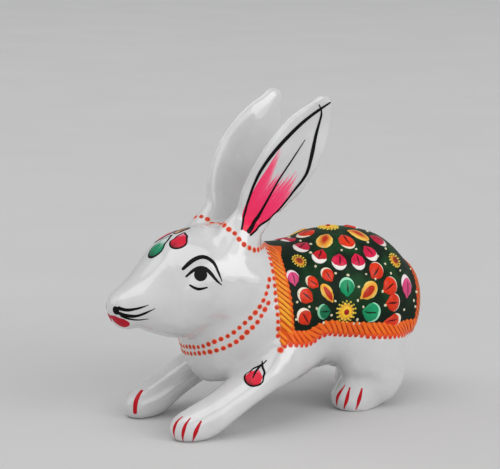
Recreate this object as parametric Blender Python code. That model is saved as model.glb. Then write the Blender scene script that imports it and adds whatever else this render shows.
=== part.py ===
"""Enamelled metal rabbit, cast in one piece.

The rabbit crouches with its front legs stretched forward and its ears laid back.
A saddle cloth lies over its back, and the petals on the cloth stand proud of the metal.
It faces -Y, its left side is +X, and its four flat soles stand on Z = 0.
Free forms are given in millimetres of a figure that is 116 mm long from nose to rump.
"""

import math

import bmesh
import bpy
from mathutils import Matrix, Vector
from mathutils.bvhtree import BVHTree

LENGTH = 0.116
DRAWN_LENGTH = 116
MM = LENGTH / DRAWN_LENGTH

SECTION_SIDES = 28
STEPS_BETWEEN_SECTIONS = 6
CAP_STEPS = 5

# Each skin is a grid of this grain, and its creases are softened over this length.
FLESH_GRAIN = 0.8 * MM
FLESH_SOFTENING = 3.75 * MM
SKIN_GRAIN = 0.6 * MM
SKIN_SOFTENING = 1.47 * MM
BODY_TRIANGLES = 9200

# Sections run along the middle of each form: forward, left, up, half width, half depth.
TORSO = (
    (23.8, 0, 30.3, 13, 17.5),
    (15.6, 0, 31, 18, 18.7),
    (2.6, 0, 34.4, 20.5, 21.6),
    (-12, 0, 34, 21, 21.9),
    (-24.6, 0, 36, 21.5, 23.1),
    (-35.7, 0, 32.9, 20.7, 23.5),
    (-45.4, 0, 29.1, 17.5, 19),
)
TORSO_FRONT_CAP = 6
TORSO_REAR_CAP = 11

HEAD = (
    (53.4, 0, 39.7, 6.4, 6.5),
    (49.2, 0, 41.2, 8.9, 7.6),
    (43.7, 0, 42.1, 11.8, 11.2),
    (36.5, 0, 43.6, 15, 15.4),
    (25.8, 0, 46.7, 17.4, 17.4),
    (15.1, 0, 45, 18.4, 16.8),
    (4.5, 0, 38.7, 18.6, 16.1),
)
HEAD_FRONT_CAP = 4
HEAD_REAR_CAP = 8

FRONT_LEG = (
    (-7, 10, 28.3, 9.8, 13.6),
    (2.8, 13.4, 22.4, 9.6, 10.4),
    (12.8, 16.2, 16.6, 8.2, 6),
    (24.8, 16.7, 10, 7.2, 5.4),
    (33.1, 16.2, 5.4, 6.8, 6),
    (37.1, 15.8, 4.2, 6.2, 5.6),
)
FRONT_LEG_ROOT_CAP = 5
FRONT_PAW_CAP = 7.6

HIND_LEG = (
    (-31, 10, 31, 10.6, 14.4),
    (-32.3, 13.2, 20.8, 9.6, 13.6),
    (-33.5, 14.6, 11, 7.9, 11.4),
    (-29.3, 13.4, 6.1, 6.6, 8.9),
    (-25.3, 12.6, 0.7, 6.3, 8.6),
)
HIND_LEG_ROOT_CAP = 6
HIND_FOOT_CAP = 4

# The far hind leg pushes off further back.
FAR_HIND_LEG = (
    (-33, -10, 30, 10.6, 13.5),
    (-40, -12, 20.5, 9.2, 11.2),
    (-46, -12.3, 11.2, 7.8, 9),
    (-45.5, -11.6, 5.6, 6.8, 8.2),
    (-43.5, -11, 0.7, 6.2, 7.8),
)

CROWN = (
    (25, 0, 50, 8, 11),
    (17, 0, 53, 8.5, 11.6),
    (9, 0, 50.5, 8.5, 12),
)
CROWN_CAPS = 5

EAR_ROOT = (
    (19.5, 7.5, 52, 8.4, 10),
    (16.3, 8.2, 58, 6.8, 8),
    (13, 9, 63.5, 4, 6.6),
)
EAR_ROOT_CAPS = 3
EAR = (
    (18.8, 8.7, 55.5, 6.5, 9.2),
    (14.8, 8.5, 61.8, 4.6, 7.1),
    (11, 9.3, 66.8, 3.2, 6.6),
    (7.4, 11.1, 73.7, 2.4, 9),
    (0.7, 13.3, 83.7, 2.3, 10.3),
    (-6.8, 13.6, 93.8, 2.2, 8.5),
    (-11.4, 14.4, 101, 2, 4.1),
)
EAR_ROOT_CAP = 3
EAR_TIP_CAP = 3.5
EAR_SCOOP = 0.75

TAIL = (
    (-49, 0, 22, 4.4, 6),
    (-53.6, 0, 26, 4.2, 5),
)
TAIL_ROOT_CAP = 4
TAIL_TIP_CAP = 4

# The cloth is laid out by two measures: how far forward, and how far down from the spine.
# Down is turned into an angle about an axle inside the body, and the cloth fans out over
# the rump from the axle's rear end.
CLOTH_AXLE_HEIGHT = 34
CLOTH_AXLE_REAR = -34
CLOTH_GIRTH_RADIUS = 22

# Rings of petals round two blossoms: forward, down, ring radius, angles from the front.
PETAL_RINGS = (
    (-24.5, 0, 8.5, (0, 48, 92, 140, 180)),
    (-24.5, 0, 16.6, (0, 24, 48, 70, 92, 116, 148)),
    (-18, 33, 9, (-4, 46, 91, 146, 190)),
    (-18, 33, 15.6, (-2, 25, 46, 70)),
    (-18, 33, 19.2, (140, 162, 180, 197)),
)
LONE_PETALS = ((0, 19.5), (-46.7, 27.4))
BLOSSOM_HEARTS = ((-24.5, 0), (-18, 33), (-4.8, 12.9), (-42.1, 17))
PETAL_RADIUS = 2.9
HEART_RADIUS = 2.9
PETAL_RISE = 0.7

ENAMEL_COLOUR = (0.83, 0.84, 0.84, 1.0)
ENAMEL_ROUGHNESS = 0.12


def place(forward, left, up):
    """A point of the figure in its own frame, from millimetres as drawn."""
    return Vector((left, -forward, up)) * MM


def clear_scene():
    for old in list(bpy.data.objects):
        bpy.data.objects.remove(old)


def enamel():
    material = bpy.data.materials.new("white_enamel")
    material.use_nodes = True
    shader = material.node_tree.nodes["Principled BSDF"]
    shader.inputs["Base Color"].default_value = ENAMEL_COLOUR
    shader.inputs["Roughness"].default_value = ENAMEL_ROUGHNESS
    shader.inputs["Metallic"].default_value = 0.0
    return material


def mirrored(sections):
    return tuple((f, -left, up, w, d) for f, left, up, w, d in sections)


def flowing(sections):
    """The sections with further ones between them, on a smooth curve through all of them."""
    rows = [sections[0], *sections, sections[-1]]
    made = []
    for index in range(1, len(rows) - 2):
        before, start, end, after = rows[index - 1 : index + 3]
        for step in range(STEPS_BETWEEN_SECTIONS):
            t = step / STEPS_BETWEEN_SECTIONS
            made.append(
                tuple(
                    b + 0.5 * t * (c - a + t * (2 * a - 5 * b + 4 * c - d + t * (3 * (b - c) + d - a)))
                    for a, b, c, d in zip(before, start, end, after)
                )
            )
    made.append(sections[-1])
    return made


def oval(angle):
    return math.cos(angle), math.sin(angle)


def leaf(angle):
    """An ear's section: a lens whose outer side is scooped out between its rims."""
    across, along = oval(angle)
    if across > 0:
        across -= EAR_SCOOP * (1 - along * along) ** 2
    return across, along


def loft(name, sections, first_cap, last_cap, outline=oval, outward=1):
    """A closed form through the sections, with a rounded cap of the given length at each end."""
    sections = flowing(sections)
    centres = [place(*row[:3]) for row in sections]
    starts = (centres[0] - centres[1]).normalized()
    ends = (centres[-1] - centres[-2]).normalized()
    rings = []
    for step in range(1, CAP_STEPS + 1):
        turn = 0.5 * math.pi * step / (CAP_STEPS + 1)
        rise, shrink = math.cos(turn), math.sin(turn)
        rings.append((centres[0] + starts * first_cap * MM * rise, -starts, sections[0][3:], shrink))
    for index, centre in enumerate(centres):
        onward = centres[min(index + 1, len(centres) - 1)] - centres[max(index - 1, 0)]
        rings.append((centre, onward.normalized(), sections[index][3:], 1.0))
    for step in range(CAP_STEPS, 0, -1):
        turn = 0.5 * math.pi * step / (CAP_STEPS + 1)
        rise, shrink = math.cos(turn), math.sin(turn)
        rings.append((centres[-1] + ends * last_cap * MM * rise, ends, sections[-1][3:], shrink))

    mesh = bmesh.new()
    sideways = Vector((outward, 0, 0))
    loops = []
    for centre, onward, (half_width, half_depth), shrink in rings:
        depthways = onward.cross(sideways).normalized()
        points = []
        for side in range(SECTION_SIDES):
            across, along = outline(2 * math.pi * side / SECTION_SIDES)
            offset = sideways * across * half_width + depthways * along * half_depth
            points.append(mesh.verts.new(centre + offset * shrink * MM))
        loops.append(points)
    for near, far in zip(loops, loops[1:]):
        for side in range(SECTION_SIDES):
            after = (side + 1) % SECTION_SIDES
            mesh.faces.new((near[side], near[after], far[after], far[side]))
    mesh.faces.new(loops[0][::-1])
    mesh.faces.new(loops[-1])
    bmesh.ops.recalc_face_normals(mesh, faces=mesh.faces)
    data = bpy.data.meshes.new(name)
    mesh.to_mesh(data)
    mesh.free()
    return data


def as_object(name, data):
    made = bpy.data.objects.new(name, data)
    bpy.context.scene.collection.objects.link(made)
    return made


def joined(name, meshes):
    """One object that holds all the meshes, which may pass through each other."""
    mesh = bmesh.new()
    for data in meshes:
        mesh.from_mesh(data)
    data = bpy.data.meshes.new(name)
    mesh.to_mesh(data)
    mesh.free()
    return as_object(name, data)


def finished(shape):
    """The mesh of an object with its modifiers carried out; the object itself is removed."""
    bpy.context.view_layer.update()
    graph = bpy.context.evaluated_depsgraph_get()
    data = bpy.data.meshes.new_from_object(shape.evaluated_get(graph))
    bpy.data.objects.remove(shape)
    return data


def fused(name, meshes, grain, softening):
    """The meshes melted into one skin, softened where they meet."""
    shape = joined(name, meshes)
    melt = shape.modifiers.new("melt", "REMESH")
    melt.mode = "VOXEL"
    melt.voxel_size = grain
    soften = shape.modifiers.new("soften", "SMOOTH")
    soften.factor = 0.5
    soften.iterations = round((softening / grain) ** 2)
    return finished(shape)


def flesh():
    """Head, torso, legs and tail as one soft form."""
    return fused(
        "flesh",
        (
            loft("torso", TORSO, TORSO_FRONT_CAP, TORSO_REAR_CAP),
            loft("head", HEAD, HEAD_FRONT_CAP, HEAD_REAR_CAP),
            loft("left_front_leg", FRONT_LEG, FRONT_LEG_ROOT_CAP, FRONT_PAW_CAP),
            loft("right_front_leg", mirrored(FRONT_LEG), FRONT_LEG_ROOT_CAP, FRONT_PAW_CAP),
            loft("left_hind_leg", HIND_LEG, HIND_LEG_ROOT_CAP, HIND_FOOT_CAP),
            loft("right_hind_leg", FAR_HIND_LEG, HIND_LEG_ROOT_CAP, HIND_FOOT_CAP),
            loft("crown", CROWN, CROWN_CAPS, CROWN_CAPS),
            loft("left_ear_root", EAR_ROOT, EAR_ROOT_CAPS, EAR_ROOT_CAPS),
            loft("right_ear_root", mirrored(EAR_ROOT), EAR_ROOT_CAPS, EAR_ROOT_CAPS),
            loft("tail", TAIL, TAIL_ROOT_CAP, TAIL_TIP_CAP),
        ),
        FLESH_GRAIN,
        FLESH_SOFTENING,
    )


def ears():
    return (
        loft("left_ear", EAR, EAR_ROOT_CAP, EAR_TIP_CAP, leaf, 1),
        loft("right_ear", mirrored(EAR), EAR_ROOT_CAP, EAR_TIP_CAP, leaf, -1),
    )


def raised_spots():
    """Forward, down and radius of everything that stands proud of the left half of the cloth."""
    spots = []
    for forward, down, ring_radius, angles in PETAL_RINGS:
        turn = 1 if down == 0 else -1
        for angle in angles:
            across = ring_radius * math.cos(math.radians(angle))
            along = ring_radius * math.sin(math.radians(angle))
            spots.append((forward + across, down + turn * along, PETAL_RADIUS))
    spots.extend((forward, down, PETAL_RADIUS) for forward, down in LONE_PETALS)
    spots.extend((forward, down, HEART_RADIUS) for forward, down in BLOSSOM_HEARTS)
    return spots


def on_cloth(surface, forward, down, side):
    """The point and the normal of the body where the cloth has these two measures."""
    fan = max(0.0, (CLOTH_AXLE_REAR - forward) / CLOTH_GIRTH_RADIUS)
    around = down / CLOTH_GIRTH_RADIUS
    start = place(max(forward, CLOTH_AXLE_REAR), 0, CLOTH_AXLE_HEIGHT)
    aim = Vector(
        (
            side * math.sin(around) * math.cos(fan),
            math.sin(fan),
            math.cos(around) * math.cos(fan),
        )
    )
    point, normal, _, _ = surface.ray_cast(start, aim)
    return point, normal


def emboss(data):
    """Raises a low dome under every petal and blossom, on both sides of the spine."""
    mesh = bmesh.new()
    mesh.from_mesh(data)
    surface = BVHTree.FromBMesh(mesh)
    rises = {}
    for forward, down, radius in raised_spots():
        for side in (1, -1):
            point, normal = on_cloth(surface, forward, down, side)
            for vertex in mesh.verts:
                offset = vertex.co - point
                beyond = (offset - offset.dot(normal) * normal).length / (radius * MM)
                if beyond < 1 and offset.length < 2 * radius * MM:
                    rise = PETAL_RISE * MM * (1 - beyond * beyond)
                    rises[vertex.index] = max(rises.get(vertex.index, 0.0), rise)
    mesh.verts.ensure_lookup_table()
    for index, rise in rises.items():
        mesh.verts[index].co += mesh.verts[index].normal * rise
    mesh.to_mesh(data)
    mesh.free()


def skin():
    """The whole figure with its ears, thinned to a light mesh."""
    data = fused("skin", (flesh(), *ears()), SKIN_GRAIN, SKIN_SOFTENING)
    emboss(data)
    shape = as_object("skin", data)
    data.calc_loop_triangles()
    thin = shape.modifiers.new("thin", "DECIMATE")
    thin.ratio = BODY_TRIANGLES / len(data.loop_triangles)
    return finished(shape)


def centre_on_origin(data):
    """Puts the middle of the figure's length and width over the origin."""
    middle = Vector((0, 0, 0))
    for axis in (0, 1):
        places = [vertex.co[axis] for vertex in data.vertices]
        middle[axis] = 0.5 * (min(places) + max(places))
    data.transform(Matrix.Translation(-middle))


def floor_cutter():
    """A block whose top is the floor, twice as wide as the figure is long."""
    mesh = bmesh.new()
    bmesh.ops.create_cube(mesh, size=2 * LENGTH)
    bmesh.ops.translate(mesh, verts=mesh.verts, vec=Vector((0, 0, -LENGTH)))
    data = bpy.data.meshes.new("floor_cutter")
    mesh.to_mesh(data)
    mesh.free()
    cutter = as_object("floor_cutter", data)
    cutter.hide_render = True
    cutter.display_type = "WIRE"
    return cutter


def build():
    clear_scene()
    data = skin()
    centre_on_origin(data)
    rabbit = as_object("rabbit", data)
    data.materials.append(enamel())
    soles = rabbit.modifiers.new("soles", "BOOLEAN")
    soles.operation = "DIFFERENCE"
    soles.object = floor_cutter()


build()
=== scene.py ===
"""Enamels the cast rabbit: white skin, painted face, ears and claws, and a flowered saddle cloth.

Places on the body are given as forward, left and up, in millimetres of the drawn figure.
Places on the cloth are given as forward and down from the spine, along the body's surface.
"""

import math
import random

import bpy
from bpy.props import FloatProperty, FloatVectorProperty, IntProperty, PointerProperty
from mathutils import Matrix, Vector
from mathutils.bvhtree import BVHTree
from mathutils.kdtree import KDTree


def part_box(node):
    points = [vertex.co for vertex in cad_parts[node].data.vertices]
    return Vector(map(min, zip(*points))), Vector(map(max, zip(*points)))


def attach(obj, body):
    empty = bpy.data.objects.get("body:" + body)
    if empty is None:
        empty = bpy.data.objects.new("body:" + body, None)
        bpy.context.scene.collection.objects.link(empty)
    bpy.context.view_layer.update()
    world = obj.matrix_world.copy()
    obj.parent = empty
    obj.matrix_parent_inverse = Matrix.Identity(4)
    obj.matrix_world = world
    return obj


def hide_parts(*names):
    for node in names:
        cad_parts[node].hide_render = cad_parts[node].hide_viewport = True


bl_info = {
    "name": "Enamelled Rabbit",
    "version": (1, 0, 0),
    "blender": (4, 5, 0),
    "location": "3D View > Sidebar > Rabbit",
    "description": "Enamels a cast rabbit and paints its face, ears, claws and saddle cloth",
    "category": "Object",
}

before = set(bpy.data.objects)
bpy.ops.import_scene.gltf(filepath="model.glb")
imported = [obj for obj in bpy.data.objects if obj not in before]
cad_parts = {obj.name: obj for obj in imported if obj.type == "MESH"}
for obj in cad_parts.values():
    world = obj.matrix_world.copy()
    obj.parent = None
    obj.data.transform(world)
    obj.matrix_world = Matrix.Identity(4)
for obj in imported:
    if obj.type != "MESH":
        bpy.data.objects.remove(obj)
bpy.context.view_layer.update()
LOWEST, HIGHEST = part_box("rabbit")
# The places below are drawn on a casting of this length, and MM is one of its millimetres in the scene.
DRAWN_LENGTH = 115.24
MM = (HIGHEST.y - LOWEST.y) / DRAWN_LENGTH

# No brush line is thinner than this.
THINNEST_LINE = 0.02
# Each line of the face and body: points along it, then its widths, in millimetres.
EYE_LINES = (
    (
        (
            (38.2, 11.9, 53.3), (34.2, 12.2, 56.1), (31, 13, 56.9), (28.6, 14.6, 55.2), (27.6, 16.2, 52),
            (26.8, 16.9, 49.2),
        ),
        (1.0, 1.4, 1.4, 1.2, 0.8, 0.3),
    ),
    (
        (
            (37.7, 13.2, 51.2), (34.6, 13.7, 53.4), (32.2, 14.5, 53.8), (30.6, 15.4, 52.6),
            (28.6, 16.6, 49.8), (26.9, 17, 48.1),
        ),
        (0.6, 1.0, 1.2, 1.2, 0.9, 0.3),
    ),
    (((37, 14.2, 48.9), (34.6, 15.4, 47.5), (31.5, 16.1, 47.8)), (0.6, 0.9, 0.5)),
)
PUPIL = ((35.2, 14.1, 51.9), (33.2, 14.9, 51.8), (31.3, 15.6, 51.7))
PUPIL_WIDTH = 4.1

MUZZLE_LINES = (
    (((57.2, 2.5, 42.2), (56.9, 3.2, 41), (56.5, 3.9, 39.9)), (2.2, 2.6, 1.8)),
    (((56.6, 3.6, 42), (54.4, 5.9, 41.4), (51.3, 7.6, 41.9), (48.5, 9.1, 42.9)), (1.2, 1.0, 0.7, 0.2)),
    (((56.7, 3.5, 40.6), (54.4, 5.8, 39.6), (51.2, 7.3, 39.5), (46.7, 10.1, 41.8)), (1.1, 1.15, 0.8, 0.2)),
    (((56, 4.4, 39.6), (54.4, 5.7, 38.7), (50.9, 6.7, 38), (48.1, 8.3, 38.3)), (0.5, 0.6, 0.5, 0.2)),
)
LIPS = (((57.3, 0, 38.6), (56.3, 2.3, 37.6), (54.8, 3.9, 36.9), (53, 5, 36.7)), (1.2, 3.2, 4.0, 3.0))
LIP_RED = (0.58, 0.010, 0.030)

CLAWS = (
    (((41.2, 16.8, 8.3), (42.7, 16, 4.6), (43.3, 15.7, 0.9)), (0.4, 1.2, 0.3)),
    (((39.6, 19.1, 8), (41.2, 18.2, 4.2), (41.6, 17.8, 0.5)), (0.4, 1.1, 0.3)),
    (((37, 21.3, 7.2), (38.8, 20.3, 3.6), (39.3, 19.5, 0.5)), (0.6, 1.3, 0.3)),
    (((37.1, 12, 9.4), (39.8, 10.8, 5.8), (41, 9.9, 2)), (1.0, 1.5, 1.3)),
    (((-21.2, 15.3, 9), (-20.2, 14, 5), (-19.3, 13.4, 1.6)), (0.3, 1.1, 0.4)),
    (((-22.1, 16.9, 8.4), (-21.4, 16.2, 4.2), (-20.7, 15.5, 0.6)), (0.5, 1.2, 0.3)),
    (((-25.6, 18.8, 8.1), (-24.5, 18.7, 4.2), (-23.6, 18.3, 0.7)), (0.6, 1.3, 0.4)),
)
# A claw that starts behind this place is on a hind paw. The far hind paw lies forward, left and up of the
# mirrored near one by the shift.
HIND_PAW_REACH = -10
FAR_HIND_SHIFT = (-18, -1.2, 0)
# The far paws repeat the near paws' claws, but for two of the front paw's. The far front paw's inner claw has
# a place of its own.
FAR_CLAWS = CLAWS[1:3] + CLAWS[4:]
FAR_INNER_CLAW = (((38.6, -13.8, 9.4), (41.3, -12.6, 5.8), (42.5, -11.7, 2)), (1.0, 1.5, 1.3))

EAR_LINES = (
    (
        (
            (17.1, 12.7, 63.9), (16, 12, 66.2), (14.8, 11.3, 68.6), (14.1, 11.6, 72.1), (12.1, 12.6, 78.4),
            (9.2, 13.8, 84.1), (4, 14.6, 90), (-6.1, 14.6, 97.7), (-14.6, 15, 102.4),
        ),
        (0.6, 0.7, 0.8, 1.0, 1.2, 1.3, 1.2, 1.0, 0.5),
    ),
    (
        (
            (-10.2, 15.2, 102), (-11.4, 14.8, 99), (-9.6, 14.4, 92), (-8, 14.6, 86), (-5.9, 14.5, 79.9),
            (-2, 13.5, 74.9), (2.3, 12, 69.4), (5.6, 10.9, 66.3), (8, 10.9, 64.9), (10.8, 11.6, 63.6),
            (14.5, 13.5, 62),
        ),
        (0.3, 0.7, 1.0, 1.3, 1.1, 0.85, 0.7, 0.65, 0.65, 0.65, 0.6),
    ),
    (
        (
            (15.2, 13.3, 62.9), (12.3, 11.9, 65.1), (9.8, 10.3, 66.8), (7.2, 11.4, 71.6), (3.1, 13.2, 79.4),
            (-1.2, 14.1, 85.4), (-5.7, 14.2, 91),
        ),
        (1.5, 1.25, 0.8, 0.6, 0.5, 0.4, 0.2),
    ),
)
# The ear's blush is laid in brush marks that fan out from its root. Each mark has its spread across the ear,
# and its reach as a share of the way from the middle to the top. At the root and in the middle the marks
# stand at these shares of their spread.
EAR_BLUSH_ROOT = (15.6, 13, 63.2)
EAR_BLUSH_MIDDLE = (8.6, 11, 71.2)
EAR_BLUSH_TOP = (-1.5, 14.2, 87)
EAR_BLUSH_ACROSS = (0.81, 0, 0.59)
EAR_BLUSH_MARKS = (
    (5.7, 0.97), (4.7, 0.9), (3.7, 0.7), (2.5, 0.52), (1.2, 0.6), (0.0, 0.68), (-1.3, 0.6), (-2.6, 0.7),
    (-3.9, 0.8), (-5.1, 0.76), (-6.2, 0.6),
)
EAR_BLUSH_ROOT_SHARE = 0.16
EAR_BLUSH_MIDDLE_SHARE = 0.8
EAR_BLUSH_WIDTHS = (0.9, 2.2, 2.2, 1.3, 0.3)

# Drops on the brow and leaves on the shoulders: pointed end first, then widths of the outline.
BROW_DROPS = {
    "green": (((34.4, -0.6, 62), (39.2, 0, 59.3), (43.2, 0.2, 55.5)), (0.4, 3.2, 6.2, 5.0)),
    "rose": (((31.4, 1.9, 62.9), (34.9, 4.7, 60.9), (38.0, 5.9, 58.9)), (0.3, 3.7, 5.7, 4.9)),
    "gold": (((33.9, -0.7, 62.1), (30.8, -0.6, 63.2), (27.9, -0.5, 63.6)), (1.8, 2.4, 1.9, 0.6)),
}
# Colours of a drop's body and of its pale point, and the share of its length that the point takes.
DROP_COLOURS = {
    "green": ((0.012, 0.30, 0.14), (0.62, 0.72, 0.70), 0.46),
    "rose": ((0.70, 0.014, 0.045), (0.80, 0.26, 0.38), 0.3),
    "gold": ((0.30, 0.12, 0.03), (0.62, 0.36, 0.16), 0.36),
}
SHOULDER_LEAF = (((14.1, 20.4, 22), (17.1, 21.4, 19.2), (20.5, 22.3, 16.2)), (0.4, 4.7, 7.0, 5.3))
# The leaf's fill starts some way down from its point.
LEAF_FILL = (((15.8, 21, 20.4), (17.9, 21.6, 18.5), (20.1, 22.2, 16.6)), (1.4, 4.9, 5.8, 4.3))
LEAF_STALKS = (
    (((14.7, 20.5, 21.5), (12.7, 20.7, 23.1)), (0.6, 0.4)),
    (((14.5, 20.6, 21.5), (13.7, 19.7, 22.7)), (0.6, 0.4)),
)
LEAF_VEIN = (((14.4, 20.5, 21.7), (16.5, 20.6, 20.1), (18.5, 21.6, 18.1)), (0.5, 0.75, 0.4))
LEAF_COLOURS = ((0.78, 0.020, 0.050), (0.86, 0.16, 0.24), 0.25)
# How far forward, left and up the far side's pieces lie from the mirrored places.
FAR_DROP_SHIFT = (0, -0.7, 0)
FAR_LEAF_SHIFT = (-2.5, 0, 0)
FAR_MUZZLE_SHIFT = (-0.4, -1.3, 0)
# The black line round a drop or a leaf makes it wider by this much.
DROP_OUTLINE = 0.55

# Courses of dots round the neck and round the roots of the ears.
NECKLACES = (
    (
        (29.3, 0, 25.2), (28.5, 7, 26.6), (26.1, 11.5, 29), (22.2, 14.1, 31.1), (18.9, 16.1, 34.2),
        (15.2, 17.5, 37.9), (12.4, 18.3, 42), (9.6, 17.4, 48.4),
    ),
    (
        (28.8, 0, 22.9), (28.1, 7.2, 24.6), (25.8, 11.2, 25.9), (22.9, 13.3, 27.2), (19.8, 15.6, 29.5),
        (17.4, 17.1, 32.3), (14.3, 18.2, 35.4), (9.7, 18.4, 42.5),
    ),
)
# The necklaces hang this much lower on the far side of the throat, from this far off its middle.
FAR_SAG = 2.4
FAR_SAG_REACH = 7
EAR_STRING = (
    (17.3, 0, 63.9), (19.3, 6, 65.2), (21.2, 9.8, 64.8), (19.6, 12, 63.4), (18.6, 13.6, 61.3),
    (16.8, 14.5, 59.2), (12.9, 14.1, 57.3), (8.1, 10.6, 57.2), (3.6, 5, 57),
)
# Colours of a red dot's middle and rim.
DOT_COLOURS = ((0.74, 0.040, 0.018), (0.92, 0.40, 0.24))
# The dots differ in size between these shares. They are a little longer than wide, and stand up this far.
DOT_GROWTH = (0.85, 1.12)
DOT_STRETCH = 1.05
DOT_RISE = 0.22
# How far the dots stand outside the cloth's edges, in widths of a dot.
FRONT_DOTS_OUT = 0.42
HEM_DOTS_OUT = 0.12
REAR_DOTS_OUT = 0.45

# The cloth is laid out by forward and down. Down is turned into an angle about an axle inside
# the body, and the cloth fans out over the rump from the axle's rear end.
CLOTH_AXLE_HEIGHT = 34
CLOTH_AXLE_REAR = -34
CLOTH_GIRTH_RADIUS = 22
# The ground's mesh has these steps along the body and round it.
CLOTH_STEPS = (84, 124)
# The way that a piece on the cloth faces is read off the body over this distance.
CLOTH_HEADING_REACH = 0.8
# The casting's own petals are rubbed down under the cloth between these places, down to this measure and
# below this height.
RUBBED_REAR = -58
RUBBED_FRONT = 5
RUBBED_DOWN = 42
RUBBED_HEIGHT = 68
# The cloth's three edges.
FRONT_EDGE = (
    (1.2, 0), (1.8, 3.8), (3.8, 7), (5.4, 10.4), (6.6, 15.6), (7.2, 21), (7.25, 27), (7.15, 33), (7.0, 38.5),
    (7.4, 41.8),
)
BOTTOM_EDGE = (
    (7.4, 41.8), (5.2, 41.3), (2.5, 41.5), (-1.5, 42.1), (-5.2, 42), (-8, 40.9), (-11.2, 40.4), (-14.8, 41.1),
    (-19.5, 42), (-25, 42.6), (-32, 42.9), (-39, 44.1), (-46, 46.7), (-51.5, 49.2),
)
REAR_EDGE = ((-59.5, 0), (-59.3, 12), (-58.6, 21), (-57.6, 28), (-56.2, 34), (-54.4, 41), (-51.5, 49.2))
# The front border and its dots stop this far down from the spine, and green runs over the top.
BORDER_START = 4.6

# The petals round the two blossoms. Each blossom has its forward and down, and each petal its angle
# from the front, its distance from the blossom, its colour and its growth.
BLOSSOMS = (
    (
        -24.5, 0,
        (
            (0, 8.9, "orange", 1.17), (48, 10.2, "amber", 1.1), (90, 10, "orange", 1.1),
            (134, 9.8, "amber", 1.1), (180, 9.0, "red", 1.0), (0, 15.6, "cherry", 1.0),
            (25, 16.7, "cherry", 1.15), (48, 17.6, "rose", 1.0), (69, 18, "hot", 1.0),
            (91, 17.8, "hot", 1.0), (113, 16.6, "hot", 1.0), (146, 16.6, "cherry", 1.15),
        ),
    ),
    (
        -18, 33,
        (
            (4, 9.2, "leaf", 1.0), (92, 7.8, "green", 1.0), (147, 9.8, "gold", 1.2), (191, 9.4, "green", 1.2),
            (43, 16.1, "orange", 0.85), (67, 13.9, "orange", 0.88), (138, 17.3, "scarlet", 1.08),
            (161, 18.8, "scarlet", 1.16), (179, 18.8, "scarlet", 1.16),
        ),
    ),
)
# Petals that stand by themselves: forward, down, colour, growth, and the way that the crescent faces, in
# degrees from forward towards down.
LONE_PETALS = (
    (0.3, 19.6, "pink", 1.0, -90), (-45.6, 27.4, "pink", 1.42, -93), (-1.4, 33.2, "orange", 1.0, -55),
    (-2.6, 26.2, "orange", 1.0, -45), (-11, 26.4, "slim_gold", 1.0, -62), (-36.7, 38.8, "hem", 1.0, 170),
)
# Length and width of a petal of each colour.
PETAL_SIZES = {
    "orange": (6.2, 5.4),
    "scarlet": (6.2, 5.5),
    "red": (5.8, 5.2),
    "rose": (6.2, 5.3),
    "hot": (6.3, 5.6),
    "cherry": (5.9, 4.8),
    "pink": (5.9, 4.9),
    "green": (6.4, 5.7),
    "leaf": (5.1, 5.2),
    "gold": (7.1, 5.0),
    "amber": (7.3, 5.1),
    "slim_gold": (7.4, 4.5),
    "hem": (8.8, 4.4),
}
# Colours of a petal's flesh, crescent and slit, and its crescent's centre and radius.
PETAL_COLOURS = {
    "orange": ((0.90, 0.042, 0.008), (0.93, 0.84, 0.68), (0.08, 0.002, 0.002), (0.33, 0.51)),
    "scarlet": ((0.92, 0.042, 0.006), (0.93, 0.84, 0.68), (0.08, 0.002, 0.002), (0.36, 0.52)),
    "hem": ((0.90, 0.042, 0.008), (0.93, 0.84, 0.68), (0.10, 0.002, 0.002), (0.15, 0.62)),
    "red": ((0.90, 0.030, 0.018), (0.93, 0.90, 0.82), (0.08, 0.002, 0.002), (0.12, 0.62)),
    "rose": ((0.80, 0.012, 0.024), (0.93, 0.90, 0.86), (0.08, 0.001, 0.004), (0.14, 0.61)),
    "hot": ((0.84, 0.010, 0.075), (0.93, 0.90, 0.86), (0.08, 0.001, 0.006), (0.14, 0.60)),
    "cherry": ((0.64, 0.012, 0.060), (0.82, 0.74, 0.72), (0.07, 0.001, 0.006), (0.16, 0.61)),
    "pink": ((0.90, 0.085, 0.27), (0.93, 0.80, 0.84), (0.16, 0.003, 0.04), (0.36, 0.45)),
    "green": ((0.008, 0.40, 0.16), (0.38, 0.84, 0.58), (0.002, 0.030, 0.012), (0.40, 0.47)),
    "leaf": ((0.004, 0.22, 0.09), (0.25, 0.66, 0.42), (0.002, 0.020, 0.010), (0.40, 0.47)),
}
# Where the red heart of a gold petal starts to fade and where it ends.
GOLD_EDGES = {"gold": (0.195, 0.23), "slim_gold": (0.195, 0.23), "amber": (0.06, 0.33)}
# How a petal narrows towards its inner end: beyond each place along it, times each width.
TAPERS = {
    "petal": ((-0.2, 0.93), (-0.5, 0.84), (-0.75, 0.75)),
    "rose": ((0.1, 0.93), (-0.2, 0.86), (-0.5, 0.74), (-0.75, 0.6)),
    "gold": ((0.1, 0.92), (-0.2, 0.86), (-0.5, 0.78), (-0.75, 0.6)),
    "slim_gold": ((0.1, 0.92), (-0.2, 0.84), (-0.5, 0.80), (-0.75, 0.7)),
    "pink": ((0.1, 0.94), (-0.2, 0.88), (-0.5, 0.78), (-0.75, 0.6)),
    "hem": ((0.2, 0.9), (-0.1, 0.86), (-0.4, 0.76), (-0.7, 0.6)),
}
# The petals differ in size between these shares, and are turned by up to this angle either way, in radians.
PETAL_GROWTH = (0.97, 1.03)
PETAL_SWAY = 0.12
# The middle of a piece's own map.
MAP_MIDDLE = (0.5, 0.5)
# Faces of a blob of enamel that meet at less than these degrees are shaded as one.
DROPLET_ANGLE = 70
# The slit is pressed into a petal's top, above this share of its height: half the slit's width, its two ends
# and its depth, as shares of the petal.
PETAL_TOP = 0.3
SLIT_HALF_WIDTH = 0.05
SLIT_ENDS = (-0.5, 0.75)
SLIT_DEPTH = 0.24

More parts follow.
